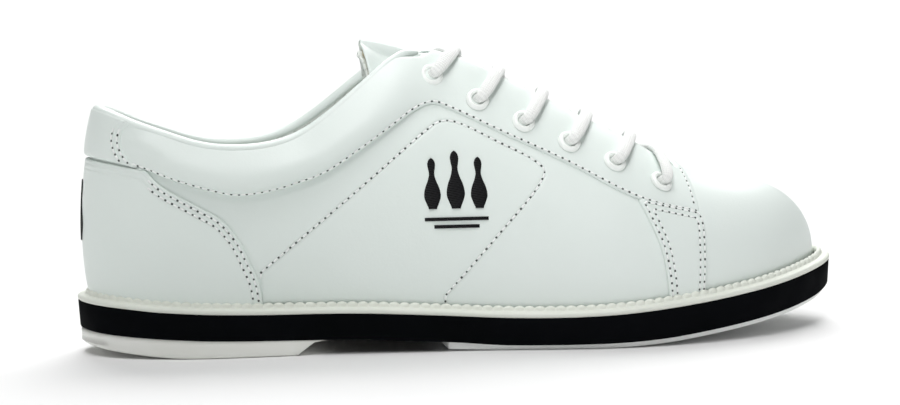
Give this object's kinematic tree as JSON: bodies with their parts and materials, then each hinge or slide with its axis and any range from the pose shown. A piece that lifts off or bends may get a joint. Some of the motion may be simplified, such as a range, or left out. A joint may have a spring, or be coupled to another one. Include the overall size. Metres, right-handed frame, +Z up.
{
  "type": "bowling shoe",
  "caption": "White lace-up bowling shoe for a right foot: low padded collar, eyelet facings, black midsole with a scalloped white welt, rubber heel and a smooth slide sole.",
  "frame": {"origin": "under the middle of the shoe's box, on the floor", "axes": "+X from heel to toe, +Y towards the inner (medial) side of the foot, +Z up"},
  "size_m": [0.302, 0.1009, 0.1186],
  "materials": {
    "white_leather": "smooth full-grain leather, white, semi-gloss",
    "white_rubber": "cream-white moulded rubber, satin",
    "black_rubber": "black rubber, matte",
    "slide_sole": "pale napped leather, matte",
    "shank_steel": "plain steel strip",
    "insole_board": "pressed fibre board, matte",
    "lining": "white woven mesh lining, matte",
    "foam": "open-cell foam, matte",
    "stiffener": "thermoplastic sheet, matte",
    "lace": "white braided polyester, matte",
    "aglet": "clear-white film tip, glossy",
    "eyelet": "white enamelled, satin"
  },
  "bodies": {
    "shoe": {"midsole": "black_rubber", "heel_lift": "white_rubber", "welt": "white_rubber", "slide_sole": "slide_sole", "shank": "shank_steel", "insole_board": "insole_board", "footbed": "lining", "quarter_lining": "lining", "vamp_lining": "lining", "vamp": "white_leather", "heel_counter_cover": "white_leather", "heel_tab": "white_leather", "topline_binding": "white_leather", "collar_foam": "foam", "heel_stiffener": "stiffener", "toe_puff": "stiffener", "lace": "lace", "lateral_quarter": "white_leather", "lateral_facing": "white_leather", "lateral_side_band": "white_leather", "lateral_aglet": "aglet", "lateral_eyelet_1": "eyelet", "lateral_eyelet_2": "eyelet", "lateral_eyelet_3": "eyelet", "lateral_eyelet_4": "eyelet", "lateral_eyelet_5": "eyelet", "lateral_eyelet_6": "eyelet", "medial_quarter": "white_leather", "medial_facing": "white_leather", "medial_side_band": "white_leather", "medial_aglet": "aglet", "medial_eyelet_1": "eyelet", "medial_eyelet_2": "eyelet", "medial_eyelet_3": "eyelet", "medial_eyelet_4": "eyelet", "medial_eyelet_5": "eyelet", "medial_eyelet_6": "eyelet"},
    "tongue": {"tongue": "white_leather", "tongue_foam": "foam", "tongue_lining": "lining"}
  },
  "joints": [
    {"name": "tongue_fold", "type": "hinge", "parent": "shoe", "child": "tongue", "pos_m": [0.08, 0.002, 0.0535], "axis": [0, 1, 0], "range_deg": [-10, 0]}
  ]
}
